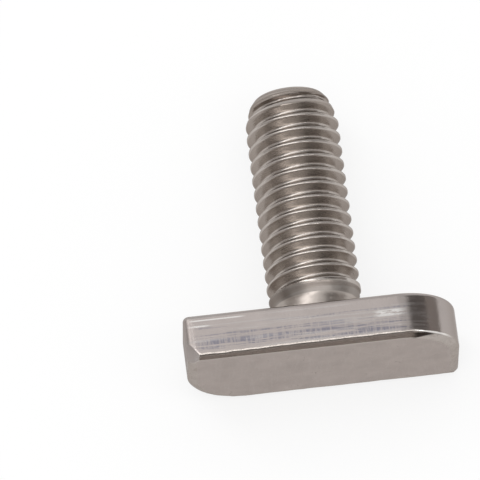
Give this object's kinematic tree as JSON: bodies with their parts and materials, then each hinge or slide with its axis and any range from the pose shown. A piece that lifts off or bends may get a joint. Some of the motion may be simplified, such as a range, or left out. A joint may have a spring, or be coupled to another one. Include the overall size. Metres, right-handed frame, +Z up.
{
  "type": "t slot bolt",
  "caption": "T slot bolt with a flat hammer head, rounded at two opposite corners, and a fully threaded M8 shank with a chamfered point.",
  "frame": {"origin": "centre of the bolt's box at the floor that it lies on", "axes": "+Z up from the floor, +Y from the head towards the point (the axis dips 3.4 degrees as it lies), +X along the head's length"},
  "size_m": [0.023, 0.025, 0.0103],
  "materials": {
    "stainless_steel": "satin, with a smoother rolled thread"
  },
  "bodies": {
    "root": {"t_slot_bolt": "stainless_steel"}
  },
  "joints": []
}
